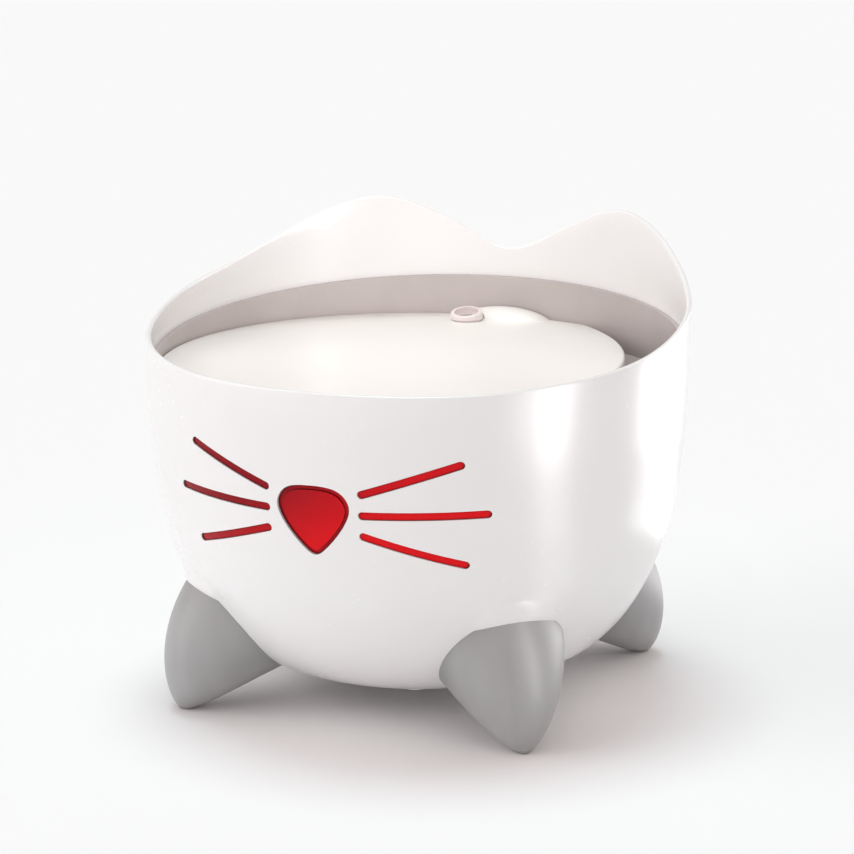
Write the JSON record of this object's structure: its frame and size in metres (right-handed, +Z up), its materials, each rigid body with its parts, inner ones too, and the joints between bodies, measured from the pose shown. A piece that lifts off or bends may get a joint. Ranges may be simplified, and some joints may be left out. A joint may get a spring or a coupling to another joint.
{
  "type": "pet water fountain",
  "caption": "Round bowl drinking fountain for a pet, with an eared rim, lit animal-face windows, cone feet, a lift-off dish, a filter and a submersible pump.",
  "frame": {"origin": "on the table, under the bowl's axis", "axes": "+Z up; the animal face looks along -Y; the power inlet is at +Y"},
  "size_m": [0.245, 0.2449, 0.2066],
  "materials": {
    "white_shell": "gloss",
    "white_inner": "satin",
    "screw_steel": "plain",
    "grey_foot": "matte",
    "soft_pad": "matte",
    "grey_tip": "matte",
    "red_lens": "translucent gloss",
    "reflector_white": "matte",
    "board_white": "matte",
    "led_body": "gloss",
    "lead_black": "matte",
    "black_plastic": "matte",
    "board_green": "satin",
    "component_dark": "satin",
    "tub_grey": "satin",
    "basket_plastic": "satin",
    "carbon_cloth": "matte",
    "fibre_white": "matte",
    "dish_white": "satin",
    "spout_white": "satin",
    "silicone_tube": "satin",
    "pump_black": "satin",
    "impeller_blue": "satin",
    "ceramic_white": "gloss",
    "sponge_dark": "open cell",
    "knob_grey": "satin",
    "cup_rubber": "matte"
  },
  "bodies": {
    "base": {"outer_shell": "white_shell", "base_cover": "white_inner", "cover_screws": "screw_steel", "leg_front_left": "grey_foot", "leg_front_right": "grey_foot", "leg_rear_left": "grey_foot", "leg_rear_right": "grey_foot", "leg_screws": "screw_steel", "foot_pads": "grey_tip", "nose_lens": "red_lens", "whisker_lens_left": "red_lens", "whisker_lens_right": "red_lens", "light_box": "reflector_white", "led_board": "board_white", "led_chips": "led_body", "led_screws": "screw_steel", "led_lead": "lead_black", "pump_lead": "lead_black", "lead_grommet": "soft_pad", "power_jack": "black_plastic", "driver_board": "board_green", "board_parts": "component_dark", "board_screws": "screw_steel", "tub": "tub_grey", "filter_stand": "white_inner", "riser_tube": "silicone_tube", "pump_body": "pump_black", "pump_chamber": "pump_black", "rotor_shaft": "ceramic_white", "suction_cups": "cup_rubber"},
    "dish": {"drinking_dish": "dish_white", "spout_ring": "spout_white"},
    "filter": {"filter_basket": "basket_plastic", "carbon_pack": "carbon_cloth", "fibre_pad": "fibre_white"},
    "rotor": {"impeller": "impeller_blue"},
    "strainer": {"strainer_cover": "pump_black", "intake_sponge": "sponge_dark"},
    "knob": {"flow_knob": "knob_grey"}
  },
  "joints": [
    {"name": "dish_lift", "type": "slide", "parent": "base", "child": "dish", "axis": [0, 0, 1], "range_m": [0, 0.09]},
    {"name": "filter_lift", "type": "slide", "parent": "base", "child": "filter", "axis": [0, 0, 1], "range_m": [0, 0.054]},
    {"name": "impeller_spin", "type": "hinge", "parent": "base", "child": "rotor", "pos_m": [-0.02, 0.026, 0.05604], "axis": [1, 0, 0], "continuous": true},
    {"name": "strainer_slide", "type": "slide", "parent": "base", "child": "strainer", "axis": [1, 0, 0], "range_m": [0, 0.02]},
    {"name": "flow_turn", "type": "hinge", "parent": "base", "child": "knob", "pos_m": [-0.003, 0.009, 0.06304], "axis": [0, -1, 0], "range_deg": [0, 90]}
  ],
  "couplings": [
    {"joint": "filter_lift", "follows": "dish_lift", "ratio": 0.6}
  ]
}
